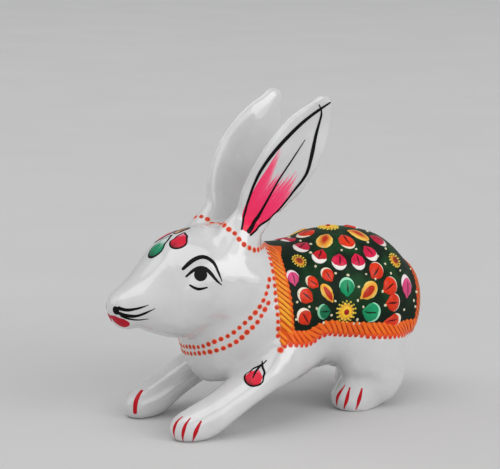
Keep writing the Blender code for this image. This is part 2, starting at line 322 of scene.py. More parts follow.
# Each sort of sun has its suns by their forward, down and radius, the shares of a radius that the disc and
# the heart take, and its rings of grains: share of the radius, number of grains, half width of a grain.
SUN_SORTS = {
    "sun": (((-24.5, 0, 2.4), (-17.2, 33.4, 2.75)), 0.95, 0.40, ((0.97, 13, 0.5), (1.29, 15, 0.34))),
    "small_sun": (((-4.6, 13.7, 2.3), (-41.2, 17.6, 2.5)), 0.82, 0.55, ((1.0, 14, 0.36),)),
}
# How far a sun's pieces stand up from the skin.
SUN_DISC_RISE = 0.45
SUN_HEART_RISE = 0.85
SUN_GRAIN_RISE = 0.6
# Colours of a sun's pieces in the middle and at the rim. The yellow disc's orange rim is painted shade round
# the edge of its dome.
SUN_COLOURS = {
    "sun_yellow": ((0.95, 0.62, 0.03), (0.82, 0.30, 0.02)),
    "sun_brown": ((0.60, 0.22, 0.02), (0.86, 0.40, 0.03)),
    "sun_heart": ((0.42, 0.010, 0.008), (0.55, 0.05, 0.010)),
    "small_sun_heart": ((0.30, 0.030, 0.010), (0.45, 0.08, 0.01)),
    "sun_grain": ((0.95, 0.66, 0.05), (0.90, 0.72, 0.20)),
}

# The front border's strands start this far below the border, redden beyond one measure down and end at
# another. The bottom border's strands start behind a place on its own line.
FIRST_STRAND = 0.6
CORNER_START = 35.5
CORNER_END = 38.2
HEM_STRANDS_START = 4.6
# The degrees that a strand is turned from its edge's own course.
STRAND_TURNS = {"amber_strands": 44, "corner_strands": 44, "orange_strands": -52, "rear_strands": -130}
# A strand is turned by up to this angle either way, in radians.
STRAND_SWAY = 0.05
# The topmost strand of the front border lies further across it by these degrees, and the ones under it less
# and less, down to this one.
TOP_TWIST = 20
TOP_TWISTED = 10
# A strand keeps its width almost to its ends: beyond each place along it, times each width.
STRAND_ENDS = ((-0.45, 1.1), (-0.75, 1.2), (-0.92, 1.3))
# Each strand reaches past the border's edges by half of the overhang. Its width is the strands' pitch times
# the overlap.
STRAND_OVERHANG = 0.5
STRAND_OVERLAP = 1.1
# Two short strands fill the corner: forward, down, length.
CORNER_STRANDS = ((6.0, 39.2, 5.2), (6.5, 40.8, 3.0))
# A large dot closes the corner: forward, down, width. The front border's dots end this far above it.
CORNER_DOT = (8.0, 42.6, 2.3)
CORNER_DOT_GAP = 1.8
CORNER_DOT_RISE = 0.25
# Colours of a strand's crown and of its sides.
STRAND_COLOURS = {
    "amber_strands": ((0.98, 0.43, 0.028), (0.38, 0.026, 0.005)),
    "corner_strands": ((0.96, 0.30, 0.020), (0.60, 0.015, 0.004)),
    "orange_strands": ((0.94, 0.18, 0.014), (0.44, 0.012, 0.004)),
    "rear_strands": ((0.62, 0.17, 0.035), (0.34, 0.04, 0.010)),
}
# The border is painted deep orange under its strands.
UNDER_BORDER = (0.74, 0.10, 0.008)

# Cream seeds round the blossoms: the blossom's forward and down, the distance from it and the angles.
SEED_RINGS = (
    (-24.5, 0, 13.6, (14, 31, 48, 74, 97, 127, 165)),
    (-24.5, 0, 22.2, (48, 66, 77, 95, 120)),
    (-17.2, 33.4, 5.6, (-5, 47, 144, 216, 234)),
    (-17.2, 33.4, 15.7, (143, 161, 179)),
    (-17.2, 33.4, 18.8, (-1, 17, 26)),
)
# Seeds that stand by themselves: forward and down.
LONE_SEEDS = (
    (-10.6, 10.8), (-33.5, 16.5), (-39.2, 13), (-4.2, 21.5), (-42.9, 21.3), (-37.2, 22.5), (-22.6, 25.8),
    (-3.4, 30), (-6.2, 31), (-23.8, 32.5), (-8.6, 36.1), (-22.7, 38.2), (-43.1, 36.5), (-49.4, 34.1),
    (-49.9, 37), (-52.1, 30.6), (-53.6, 17.8),
)
# Half a seed's width is between these sizes. It is a little longer than wide, and stands up this far.
SEED_SIZES = (0.36, 0.56)
SEED_STRETCH = 1.15
SEED_RISE = 0.5

# The casting's ears are drawn out at their tips and along their rear edges: the place, its shift, and how far
# round it the shift fades away.
EAR_PULLS = (
    ((-13.4, 14.4, 103.6), (-1.0, 0, 0.5), 4.5),
    ((-12.6, 14.8, 95.5), (-0.8, 0, -0.5), 5.5),
    ((-11, 15, 88.5), (-0.8, 0, -0.5), 5.5),
    ((-8.4, 14.8, 81.2), (-0.8, 0, -0.5), 5.5),
    ((-4.4, 13.8, 74.8), (-0.6, 0, -0.4), 5.5),
)

# The lamps: degrees round from straight ahead and above level, distance, then width and height, in metres.
LAMPS = {
    "window": (118, 29, 5.5, (2.6, 3.4)),
    "wall": (100, 24, 7.5, (8.0, 5.0)),
    "ceiling": (20, 72, 6.5, (6.5, 5.0)),
    "side_fill": (-35, 28, 7.0, (5.0, 5.0)),
}
# The floor's width and depth, in metres.
FLOOR_SPAN = 14

# What the properties of each kind have in common.
LENGTH = {"subtype": "DISTANCE", "unit": "LENGTH"}
PLACE = {"subtype": "TRANSLATION", "unit": "LENGTH"}
ANGLE = {"subtype": "ANGLE", "unit": "ROTATION"}
COLOUR = {"subtype": "COLOR", "min": 0, "max": 1}


class RabbitSkin(bpy.types.PropertyGroup):
    grain: FloatProperty(
        name="Grain", description="Distance between the points of the skin",
        default=0.00058, min=0.0003, max=0.002, **LENGTH,
    )
    evenness: IntProperty(name="Evenness", description="Smoothing passes over the whole casting", default=7)
    rubbed: IntProperty(name="Rubbed down", description="Smoothing passes under the cloth", default=45)
    lump: FloatProperty(
        name="Lump height", description="Height of the hand-cast unevenness", default=0.00022, **LENGTH
    )
    lump_span: FloatProperty(
        name="Lump span", description="Distance from one lump to the next", default=0.011, **LENGTH
    )
    white: FloatVectorProperty(
        name="White", description="White enamel", default=(0.72, 0.72, 0.72), **COLOUR
    )
    shade: FloatVectorProperty(
        name="Thin white", description="White enamel where it is thin",
        default=(0.64, 0.64, 0.645), **COLOUR,
    )


class RabbitPaint(bpy.types.PropertyGroup):
    film: FloatProperty(
        name="Film", description="How far a painted line stands off the white enamel",
        default=0.00005, **LENGTH,
    )
    dot: FloatProperty(name="Dot", description="Width of a red dot", default=0.0018, **LENGTH)
    dot_pitch: FloatProperty(
        name="Dot pitch", description="Distance from dot to dot", default=0.0023, **LENGTH
    )
    hem_pitch: FloatProperty(
        name="Hem pitch", description="Distance from dot to dot and from strand to strand along the hem",
        default=0.0021, **LENGTH,
    )
    black: FloatVectorProperty(
        name="Black", description="Black of the brush lines", default=(0.002, 0.002, 0.003), **COLOUR
    )
    crimson: FloatVectorProperty(
        name="Crimson", description="Red of the claws", default=(0.60, 0.008, 0.018), **COLOUR
    )
    rose: FloatVectorProperty(
        name="Rose", description="Pink of the ears' blush", default=(1.0, 0.034, 0.165), **COLOUR
    )


class RabbitCloth(bpy.types.PropertyGroup):
    rise: FloatProperty(name="Petal rise", description="Height of a petal", default=0.00052, **LENGTH)
    border: FloatProperty(name="Border", description="Width of the corded border", default=0.0048, **LENGTH)
    hem: FloatProperty(
        name="Hem", description="Width of the border along the hem and the rear", default=0.0045, **LENGTH
    )
    strand: FloatProperty(
        name="Strand pitch", description="Distance from strand to strand of the border",
        default=0.0019, **LENGTH,
    )
    cord: FloatProperty(
        name="Cord rise", description="Height of a strand of the border", default=0.00038, **LENGTH
    )
    ground: FloatVectorProperty(
        name="Ground", description="Dark green of the cloth's ground",
        default=(0.003, 0.012, 0.005), **COLOUR,
    )
    # The lighter green is painted sheen: the glow of a window across the cloth's middle, laid in mottled
    # patches.
    sheen_green: FloatVectorProperty(
        name="Ground light", description="Lighter green in the middle of the cloth",
        default=(0.010, 0.055, 0.016), **COLOUR,
    )
    cream: FloatVectorProperty(
        name="Cream", description="Cream of the seeds", default=(0.85, 0.80, 0.55), **COLOUR
    )


class RabbitStage(bpy.types.PropertyGroup):
    azimuth: FloatProperty(
        name="Azimuth", description="How far round from straight ahead the camera stands",
        default=math.radians(58), **ANGLE,
    )
    elevation: FloatProperty(
        name="Elevation", description="How far above level the camera stands",
        default=math.radians(10.5), **ANGLE,
    )
    distance: FloatProperty(
        name="Distance", description="From the camera to the place that it looks at", default=0.6, **LENGTH
    )
    aim: FloatVectorProperty(
        name="Aim", description="The place that the camera looks at", default=(0, -0.006, 0.0594), **PLACE
    )
    lens: FloatProperty(name="Focal length", description="In millimetres on a 36 mm sensor", default=133.9)
    daylight: FloatProperty(name="Daylight", description="Strength of the light all round", default=0.44)
    window: FloatProperty(name="Window", description="Power of the tall window in watts", default=44.0)
    ceiling: FloatProperty(
        name="Ceiling", description="Power of the soft light above in watts", default=138.0
    )
    wall: FloatProperty(
        name="Wall", description="Power of the wide light beside the window in watts", default=150.0
    )
    side_fill: FloatProperty(
        name="Side fill", description="Power of the soft light from the far side in watts", default=55.2
    )
    floor: FloatVectorProperty(
        name="Floor", description="Grey of the paper under the figure", default=(0.66, 0.66, 0.66), **COLOUR
    )


def at(forward, left, up):
    """A place in the scene from millimetres of the drawn figure."""
    return Vector((left, -forward, up)) * MM


def mirrored(points):
    """The points on the other side of the body."""
    return tuple((forward, -left, up) for forward, left, up in points)


def shifted(points, shift):
    """The points moved forward, left and up by a shift."""
    return tuple(tuple(place + step for place, step in zip(point, shift)) for point in points)


def only(*objects):
    """Selects these objects and nothing else."""
    bpy.ops.object.select_all(action="DESELECT")
    for shape in objects:
        shape.select_set(True)
    bpy.context.view_layer.objects.active = objects[0]


def pick(shape, wanted):
    """Opens the shape in edit mode with the points selected whose place passes the test."""
    only(shape)
    bpy.ops.object.mode_set(mode="EDIT")
    bpy.ops.mesh.select_mode(type="VERT")
    bpy.ops.mesh.select_all(action="DESELECT")
    bpy.ops.object.mode_set(mode="OBJECT")
    for vertex in shape.data.vertices:
        vertex.select = wanted(vertex.co)
    bpy.ops.object.mode_set(mode="EDIT")


def apply_modifiers(shape):
    """Makes the shape's modifiers part of its mesh."""
    only(shape)
    for modifier in list(shape.modifiers):
        bpy.ops.object.modifier_apply(modifier=modifier.name)


def merged(name, pieces):
    """One object made of all the pieces."""
    only(*pieces)
    if len(pieces) > 1:
        bpy.ops.object.join()
    piece = bpy.context.object
    piece.name = name
    piece.data.name = name
    return piece


def hand_over(piece, material, smooth_angle=50):
    """Gives a finished piece its material, its smooth shading and its place in the frame."""
    only(piece)
    bpy.ops.object.shade_smooth_by_angle(angle=math.radians(smooth_angle))
    piece.data.materials.clear()
    piece.data.materials.append(material)
    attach(piece, "root")


def body_surface():
    """The white body as a surface that places can be read from."""
    return BVHTree.FromObject(bpy.data.objects["enamelled_body"], bpy.context.evaluated_depsgraph_get())


def curve_through(a, b, c, d, share):
    """A value at a share of the way from b to c, on a smooth curve through all four."""
    return b + 0.5 * share * (c - a + share * (2 * a - 5 * b + 4 * c - d + share * (3 * (b - c) + d - a)))


def flowing(points, steps=8):
    """The points with further ones between them, on a smooth curve through all of them."""
    rows = [points[0], *points, points[-1]]
    made = []
    for index in range(1, len(rows) - 2):
        before, start, end, after = rows[index - 1 : index + 3]
        for step in range(steps):
            measures = zip(before, start, end, after)
            made.append(tuple(curve_through(*values, step / steps) for values in measures))
    made.append(tuple(points[-1]))
    return made


def shortened(points, share=0.07):
    """The same line with a little taken off each end."""
    first = [a + (b - a) * share * (len(points) - 1) for a, b in zip(points[0], points[1])]
    last = [a + (b - a) * share * (len(points) - 1) for a, b in zip(points[-1], points[-2])]
    return (tuple(first), *points[1:-1], tuple(last))


def seat(point, normal, heading):
    """A place on the surface whose X axis runs along the heading and whose Z axis stands up."""
    ahead = (heading - heading.dot(normal) * normal).normalized()
    turned = Matrix((ahead, normal.cross(ahead), normal)).transposed().to_4x4()
    turned.translation = point
    return turned


def on_cloth(surface, forward, down, side):
    """The point and the normal of the body where the cloth has these two measures."""
    fan = max(0.0, (CLOTH_AXLE_REAR - forward) / CLOTH_GIRTH_RADIUS)
    around = down / CLOTH_GIRTH_RADIUS
    start = at(max(forward, CLOTH_AXLE_REAR), 0, CLOTH_AXLE_HEIGHT)
    aim = Vector((side * math.sin(around) * math.cos(fan), math.sin(fan), math.cos(around) * math.cos(fan)))
    point, normal, _, _ = surface.ray_cast(start, aim)
    return point, normal


def cloth_seat(surface, forward, down, side, heading):
    """A place on the cloth, turned by an angle from forward towards down."""
    point, normal = on_cloth(surface, forward, down, side)
    onward = forward + CLOTH_HEADING_REACH * math.cos(heading)
    lower = down + CLOTH_HEADING_REACH * math.sin(heading)
    ahead, _ = on_cloth(surface, onward, lower, side)
    return seat(point, normal, ahead - point)


def cloth_course(surface, line, side, outward=0.0):
    """The points and normals of the body along an edge of the cloth, moved outwards by a real distance."""
    course = [on_cloth(surface, forward, down, side) for forward, down in line]
    next_ones = course[1:] + course[-1:]
    moved = []
    for (before, _), (point, normal), (after, _) in zip(course[:1] + course, course, next_ones):
        aside = (after - before).cross(normal).normalized() * outward * side
        hit = surface.find_nearest(point + aside)
        moved.append((hit[0], hit[1]))
    return moved


def read_off(line, key, value, wanted):
    """The value of a line where its key is the wanted one. Key and value are columns of the line."""
    rows = sorted(line, key=lambda row: row[key])
    for low, high in zip(rows, rows[1:]):
        if wanted <= high[key]:
            break
    span = high[key] - low[key]
    share = min(1.0, max(0.0, (wanted - low[key]) / span)) if span else 0.0
    return low[value] + (high[value] - low[value]) * share


class ClothOutline:
    """The cloth's three edges as smooth lines."""

    def __init__(self):
        self.front = flowing(FRONT_EDGE)
        self.bottom = flowing(BOTTOM_EDGE)
        self.rear = flowing(REAR_EDGE)

    def spot(self, lengthwise, sideways):
        """Forward and down at a share from front to rear, and at a share from the spine to the hem.

        The two depend on each other, so they are settled in a few rounds.
        """
        down = sideways * FRONT_EDGE[-1][1]
        for _ in range(6):
            front = read_off(self.front, 1, 0, down)
            rear = read_off(self.rear, 1, 0, down)
            forward = front + (rear - front) * lengthwise
            down = sideways * read_off(self.bottom, 0, 1, forward)
        return forward, down


def under_cloth(place):
    """Whether a point of the body lies under the cloth, where its petals are laid afresh."""
    forward, left, up = -place.y / MM, place.x / MM, place.z / MM
    around = math.atan2(abs(left), up - CLOTH_AXLE_HEIGHT) * CLOTH_GIRTH_RADIUS
    reach = math.hypot(left, up - CLOTH_AXLE_HEIGHT)
    if forward < CLOTH_AXLE_REAR:
        forward = CLOTH_AXLE_REAR - math.atan2(CLOTH_AXLE_REAR - forward, reach) * CLOTH_GIRTH_RADIUS
    return RUBBED_REAR < forward < RUBBED_FRONT and around < RUBBED_DOWN and up < RUBBED_HEIGHT


def round_blossom(forward, down, angle, radius):
    """Places at an angle and a distance from a blossom, on both sides of the body.

    Each has its forward, down, side and heading. A place on the spine itself is given only once.
    """
    turn = 1 if down == 0 else -1
    ahead = radius * math.cos(math.radians(angle))
    aside = turn * radius * math.sin(math.radians(angle))
    sides = (1, -1) if abs(down + aside) > 0.01 else (1,)
    return [(forward + ahead, down + aside, side, math.atan2(aside, ahead)) for side in sides]


def evenly(surface_points, pitch):
    """Places along a course of (point, normal) pairs, a pitch apart, with their headings."""
    places = []
    walked = 0.5 * pitch
    for (start, normal), (end, _) in zip(surface_points, surface_points[1:]):
        span = (end - start).length
        while span > 0 and walked <= span:
            places.append(seat(start.lerp(end, walked / span), normal, end - start))
            walked += pitch
        walked -= span
    return places


def scattered(name, model, places, draws, surface):
    """Copies the model to every place, settles each copy on the body and joins them.

    Each copy has a tint of its own, from 0 to 1.
    """
    map_flat(model)
    copies = []
    for place in places:
        copy = model.copy()
        copy.data = model.data.copy()
        height = place.to_scale().z
        up = place.to_3x3().normalized().col[2]
        for vertex in copy.data.vertices:
            rise = vertex.co.z * height
            point, normal, _, _ = surface.find_nearest(place @ vertex.co - up * rise)
            vertex.co = point + normal * rise
        tint = copy.data.attributes.new("tint", "FLOAT", "POINT")
        tint.data.foreach_set("value", [draws.random()] * len(copy.data.vertices))
        bpy.context.collection.objects.link(copy)
        copies.append(copy)
    bpy.data.objects.remove(model)
    return merged(name, copies)


def map_flat(shape):
    """Lays the shape's UV map over its plan, from 0 to 1 along X and along Y."""
    mesh = shape.data
    layer = mesh.uv_layers.active or mesh.uv_layers.new()
    low = [min(vertex.co[axis] for vertex in mesh.vertices) for axis in (0, 1)]
    high = [max(vertex.co[axis] for vertex in mesh.vertices) for axis in (0, 1)]
    for loop in mesh.loops:
        place = mesh.vertices[loop.vertex_index].co
        layer.data[loop.index].uv = [
            (place[axis] - low[axis]) / (high[axis] - low[axis]) for axis in (0, 1)
        ]


def droplet(sides, rings, foot):
    """A round blob of enamel of radius 1 with its poles at its two ends.

    It is cut flat below its waist, at the foot's share of the radius.
    """
    bpy.ops.mesh.primitive_uv_sphere_add(
        segments=sides, ring_count=rings, radius=1, location=(0, 0, 0), rotation=(0, math.pi / 2, 0)
    )
    drop = bpy.context.object
    only(drop)
    bpy.ops.object.transform_apply(rotation=True)
    bpy.ops.object.mode_set(mode="EDIT")
    bpy.ops.mesh.select_all(action="SELECT")
    bpy.ops.mesh.bisect(plane_co=(0, 0, -foot), plane_no=(0, 0, 1), use_fill=True, clear_inner=True)
    bpy.ops.object.mode_set(mode="OBJECT")
    return drop


def squeeze(shape, steps, way=1):
    """Changes the shape's width beyond each place along X, towards -X or, where the way is -1, towards +X."""
    for reach, width in steps:
        pick(shape, lambda place: place.x * way < reach)
        bpy.ops.transform.resize(value=(1, width, 1))
        bpy.ops.object.mode_set(mode="OBJECT")


def press_slit(petal):
    """Presses a slit into the top of a petal, along its middle."""
    start, end = SLIT_ENDS

    def in_slit(place):
        return abs(place.y) < SLIT_HALF_WIDTH and place.z > PETAL_TOP and start < place.x < end

    pick(petal, in_slit)
    bpy.ops.transform.translate(value=(0, 0, -SLIT_DEPTH))
    bpy.ops.object.mode_set(mode="OBJECT")


def sun_grains(surface, forward, down, radius, rings, flanks, draws):
    """Places for the grains round a sun. Round a sun on the spine, one half is set on both flanks."""
    grains = []
    for reach, count, size in rings:
        for index in range(count):
            angle = math.radians(360 * index / count)
            onward = forward + reach * radius * math.cos(angle)
            lower = down + reach * radius * math.sin(angle)
            if lower < 0:
                continue
            for flank in flanks:
                grown = size * draws.uniform(0.85, 1.15) * MM
                grain = Matrix.Diagonal((grown, grown, SUN_GRAIN_RISE * MM, 1))
                grains.append(cloth_seat(surface, onward, lower, flank, 0) @ grain)
    return grains


def stroke_width(widths, length, share):
    """The width of a brush line at a share of its length, with round ends."""
    place = share * (len(widths) - 1)
    index = min(int(place), len(widths) - 2)
    blend = place - index
    blend = blend * blend * (3 - 2 * blend)
    width = widths[index] * (1 - blend) + widths[index + 1] * blend
    near_end = min(1.0, min(share, 1 - share) * length / max(0.5 * width, 1e-6))
    return width * math.sqrt(max(0.0, 1 - (1 - near_end) ** 2))


def brush_line(surface, points, widths, film, steps=26, across=4, thickness=None):
    """A line of paint that follows the body: a strip bent along a curve and wrapped onto the skin."""
    hits = [surface.find_nearest(at(*point)) for point in flowing(points, 3)]
    normal = sum((hit[1] for hit in hits), Vector()).normalized()
    frame_of_line = seat(hits[len(hits) // 2][0], normal, hits[-1][0] - hits[0][0])
    bpy.ops.curve.primitive_bezier_curve_add()
    route = bpy.context.object
    route.matrix_world = frame_of_line
    route.data.twist_mode = "Z_UP"
    route.data.use_stretch = True
    route.data.use_deform_bounds = True
    route.data.resolution_u = 16
    spline = route.data.splines[0]
    if len(hits) > 2:
        spline.bezier_points.add(len(hits) - 2)
    for knot, hit in zip(spline.bezier_points, hits):
        knot.co = frame_of_line.inverted() @ hit[0]
        knot.handle_left_type = "AUTO"
        knot.handle_right_type = "AUTO"
    length = sum((b[0] - a[0]).length for a, b in zip(hits, hits[1:])) / MM

    bpy.ops.mesh.primitive_grid_add(x_subdivisions=steps, y_subdivisions=across, size=1)
    strip = bpy.context.object
    strip.matrix_world = frame_of_line
    for vertex in strip.data.vertices:
        share = 0.5 - 0.5 * math.cos(math.pi * (vertex.co.x + 0.5))
        vertex.co.x = share
        vertex.co.y *= max(stroke_width(widths, length, share), THINNEST_LINE) * MM
    bend = strip.modifiers.new("bend", "CURVE")
    bend.object = route
    wrap = strip.modifiers.new("wrap", "SHRINKWRAP")
    wrap.target = bpy.data.objects["enamelled_body"]
    wrap.wrap_mode = "ABOVE_SURFACE"
    wrap.offset = film
    solid_paint = strip.modifiers.new("thickness", "SOLIDIFY")
    solid_paint.thickness = thickness or 2 * film
    solid_paint.offset = -1
    apply_modifiers(strip)
    bpy.ops.object.transform_apply()
    bpy.data.objects.remove(route)
    return strip


def both_sides(surface, lines, film, shift=(0, 0, 0), **options):
    """The same brush lines on the left and on the right, where they may be shifted forward, left and up."""
    made = []
    for points, widths in lines:
        for course in (points, shifted(mirrored(points), shift)):
            made.append(brush_line(surface, course, widths, film, **options))
    return made


def outward(azimuth, elevation):
    """The direction from the figure to a camera or a lamp. Azimuth 0 is straight in front of it."""
    level = math.cos(elevation)
    return Vector((math.sin(azimuth) * level, -math.cos(azimuth) * level, math.sin(elevation)))


def lamp(name, aim, azimuth, elevation, distance, size, power):
    """A soft rectangular light that faces the figure, with its azimuth and elevation in degrees."""
    away = outward(math.radians(azimuth), math.radians(elevation))
    bpy.ops.object.light_add(type="AREA", location=aim + away * distance)
    light = bpy.context.object
    light.name = name
    light.data.shape = "RECTANGLE"
    light.data.size, light.data.size_y = size
    light.data.energy = power
    light.rotation_euler = away.to_track_quat("Z", "Y").to_euler()


def new_enamel(name, roughness=0.35, shine=0.12, coat=0.16, coat_roughness=0.08):
    """A glaze, and its shader. The shine is that of the colour and the coat that of the glass over it."""
    material = bpy.data.materials.new(name)
    material.use_nodes = True
    shader = material.node_tree.nodes["Principled BSDF"]
    shader.inputs["Roughness"].default_value = roughness
    shader.inputs["Specular IOR Level"].default_value = shine
    shader.inputs["Coat Weight"].default_value = coat
    shader.inputs["Coat Roughness"].default_value = coat_roughness
    return material, shader


def node(material, kind, values, **settings):
    """A node with its inputs set to values or joined to other nodes' outputs."""
    tree = material.node_tree
    made = tree.nodes.new(kind)
    for key, value in settings.items():
        setattr(made, key, value)
    for socket, value in values.items():
        if isinstance(value, bpy.types.NodeSocket):
            tree.links.new(value, made.inputs[socket])
        else:
            made.inputs[socket].default_value = value
    return made


def join_to(material, output, target):
    """Joins a node's output to another node's input."""
    material.node_tree.links.new(output, target)


def maths(material, operation, *values):
    """The result of a sum on values and other nodes' outputs."""
    return node(material, "ShaderNodeMath", dict(enumerate(values)), operation=operation).outputs[0]


def blended(material, share, first, second):
    """A colour between two, by a share."""
    ends = [end if isinstance(end, bpy.types.NodeSocket) else (*end, 1) for end in (first, second)]
    return node(material, "ShaderNodeMix", {0: share, 6: ends[0], 7: ends[1]}, data_type="RGBA").outputs[2]


def eased(material, value, start, end):
    """0 below the start and 1 beyond the end."""
    limits = {"Value": value, "From Min": start, "From Max": end}
    return node(material, "ShaderNodeMapRange", limits, interpolation_type="SMOOTHSTEP").outputs[0]


def swung(material, value, reach):
    """A value from 0 to 1 turned into one that swings about 0 by half the reach each way."""
    return maths(material, "MULTIPLY", maths(material, "SUBTRACT", value, 0.5), reach)


def mottle(material, span, detail=3.0, stretch=(1, 1, 1), source="Object"):
    """Soft noise over the surface, with a given distance from patch to patch."""
    where = node(material, "ShaderNodeTexCoord", {}).outputs[source]
    where = node(material, "ShaderNodeMapping", {"Vector": where, "Scale": stretch}).outputs[0]
    noise = {"Vector": where, "Scale": 1 / span, "Detail": detail}
    return node(material, "ShaderNodeTexNoise", noise).outputs[0]


def plan(material):
    """The two coordinates of the piece's own map."""
    where = node(material, "ShaderNodeTexCoord", {}).outputs["UV"]
    parts = node(material, "ShaderNodeSeparateXYZ", {"Vector": where}).outputs
    return parts[0], parts[1]


def away_from(material, spot, stretch=1.0):
    """How far a place on the piece's own map is from a spot, with the map stretched lengthwise first."""
    along, across = plan(material)
    lengthwise = maths(material, "MULTIPLY", along, stretch)
    place = node(material, "ShaderNodeCombineXYZ", {0: lengthwise, 1: across}).outputs[0]
    ends = {0: place, 1: (*spot, 0)}
    return node(material, "ShaderNodeVectorMath", ends, operation="DISTANCE").outputs["Value"]


def tint_of(material):
    """The tint of its own that each copy of a model has."""
    return node(material, "ShaderNodeAttribute", {}, attribute_name="tint").outputs["Fac"]


def darker(colour, share):
    """The colour at a share of its brightness."""
    return tuple(channel * share for channel in colour)


def glazed(material, shader, colour, span=0.0015, depth=0.00003):
    """The finished glaze: its colour, and the slight unevenness of fired enamel."""
    swell = {"Height": mottle(material, span), "Distance": depth, "Strength": 0.6}
    bump = node(material, "ShaderNodeBump", swell).outputs[0]
    for socket, output in (("Base Color", colour), ("Normal", bump), ("Coat Normal", bump)):
        join_to(material, output, shader.inputs[socket])
    return material


def white_enamel(skin):
    """White enamel that thins on the lumps and carries a few dark specks of grit."""
    material, shader = new_enamel("white_enamel", roughness=0.2, shine=0.5, coat=1.0, coat_roughness=0.03)
    tone = eased(material, mottle(material, 0.018), 0.35, 0.65)
    colour = blended(material, tone, skin.shade, skin.white)
    where = node(material, "ShaderNodeTexCoord", {}).outputs["Object"]
    grains_a_metre, speck, rarity, dark_grit = 140.0, 0.055, 0.60, (0.10, 0.10, 0.10)
    spread = {"Vector": where, "Scale": grains_a_metre}
    grit = node(material, "ShaderNodeTexVoronoi", spread).outputs["Distance"]
    near = maths(material, "LESS_THAN", grit, speck)
    rare = maths(material, "GREATER_THAN", mottle(material, 0.007), rarity)
    colour = blended(material, maths(material, "MULTIPLY", near, rare), colour, dark_grit)
    dull = {"Value": mottle(material, 0.01), "To Min": 0.10, "To Max": 0.24}
    join_to(material, node(material, "ShaderNodeMapRange", dull).outputs[0], shader.inputs["Roughness"])
    return glazed(material, shader, colour, span=0.004, depth=0.00006)


def brushed(name, colour, deep=0.55, span=0.0012):
    """Paint that is laid thicker and thinner by the brush."""
    material, shader = new_enamel(name, roughness=0.4, shine=0.1, coat=0.06, coat_roughness=0.15)
    tone = eased(material, mottle(material, span), 0.35, 0.7)
    return glazed(material, shader, blended(material, tone, darker(colour, deep), colour))


def blush_enamel(paint):
    """Crimson at the ear's root that turns rose and streaky towards the tip."""
    material, shader = new_enamel("ear_blush", roughness=0.35, shine=0.2, coat=0.2, coat_roughness=0.1)
    root, tip = (0.93, 0.012, 0.055), (0.80, 0.60, 0.64)
    streaks = swung(material, mottle(material, 0.12, detail=2.0, stretch=(0.25, 2.2, 1), source="UV"), 1.3)
    fade = maths(material, "ADD", plan(material)[0], streaks)
    colour = blended(material, eased(material, fade, 0.1, 0.6), root, paint.rose)
    colour = blended(material, eased(material, fade, 0.60, 0.95), colour, tip)
    return glazed(material, shader, colour)


def drop_enamel(name, colour, pale, pointed):
    """A drop that is pale at its pointed end and streaked towards its round end."""
    material, shader = new_enamel(name)
    streaks = swung(material, mottle(material, 0.22, detail=2.0, stretch=(0.5, 2.0, 1), source="UV"), 0.5)
    fade = maths(material, "ADD", plan(material)[0], streaks)
    round_end = eased(material, fade, 0.55, 0.95)
    body = blended(material, round_end, colour, darker(colour, 0.35))
    past_point = eased(material, fade, pointed - 0.06, pointed + 0.06)
    body = blended(material, past_point, pale, body)
    return glazed(material, shader, body)


def dot_enamel(name, core, rim):
    """A dot with a rim of another colour, and deeper in some copies than in others."""
    material, shader = new_enamel(name)
    worn = maths(material, "MULTIPLY", eased(material, tint_of(material), 0.2, 1.0), 0.45)
    colour = blended(material, worn, core, darker(core, 0.6))
    in_rim = eased(material, away_from(material, MAP_MIDDLE), 0.31, 0.46)
    colour = blended(material, in_rim, colour, rim)
    return glazed(material, shader, colour, span=0.001, depth=0.00002)


def petal_enamel(name, flesh, rim, slit, crescent):
    """A petal with a pale crescent round its outer end and a dark slit down its middle.

    The crescent is where the petal's own map is further than a radius from a centre on its axis.
    """
    material, shader = new_enamel(name)
    along, across = plan(material)
    wobble = swung(material, mottle(material, 0.0022), 0.16)
    off_axis = maths(material, "ADD", maths(material, "SUBTRACT", across, 0.5), wobble)
    off_axis = maths(material, "ABSOLUTE", off_axis)
    slit_middle, widest, narrows = 0.42, 0.052, 0.42
    from_middle = maths(material, "ABSOLUTE", maths(material, "SUBTRACT", along, slit_middle))
    narrowing = maths(material, "MULTIPLY", maths(material, "POWER", from_middle, 2.0), narrows)
    slit_width = maths(material, "SUBTRACT", widest, narrowing)
    in_slit = eased(material, maths(material, "SUBTRACT", slit_width, off_axis), -0.01, 0.012)
    centre, radius = crescent
    out = away_from(material, (centre, 0.5))
    out = maths(material, "ADD", out, maths(material, "MULTIPLY", wobble, 0.6))
    out = maths(material, "ADD", out, swung(material, tint_of(material), 0.08))
    in_rim = eased(material, out, radius, radius + 0.03)
    tone = eased(material, mottle(material, 0.0025), 0.3, 0.7)
    body = blended(material, tone, darker(flesh, 0.72), flesh)
    body = blended(material, maths(material, "MULTIPLY", tint_of(material), 0.35), body, darker(flesh, 0.6))
    colour = blended(material, in_rim, body, rim)
    return glazed(material, shader, blended(material, in_slit, colour, slit))


def gold_enamel(name, fades, ends):
    """A gold drop with a red heart and a yellow rim."""
    material, shader = new_enamel(name)
    heart, gold = (0.52, 0.016, 0.006), (0.95, 0.46, 0.05)
    rim, bronze = (0.97, 0.68, 0.16), (0.55, 0.14, 0.015)
    wobble = swung(material, mottle(material, 0.002), 0.12)
    heart_middle, heart_length = (0.30, 0.5), 0.62
    out = maths(material, "ADD", away_from(material, heart_middle, heart_length), wobble)
    colour = blended(material, eased(material, out, fades, ends), heart, gold)
    in_rim = eased(material, out, 0.28, 0.42)
    colour = blended(material, in_rim, colour, rim)
    colour = blended(material, maths(material, "MULTIPLY", tint_of(material), 0.25), colour, bronze)
    return glazed(material, shader, colour)


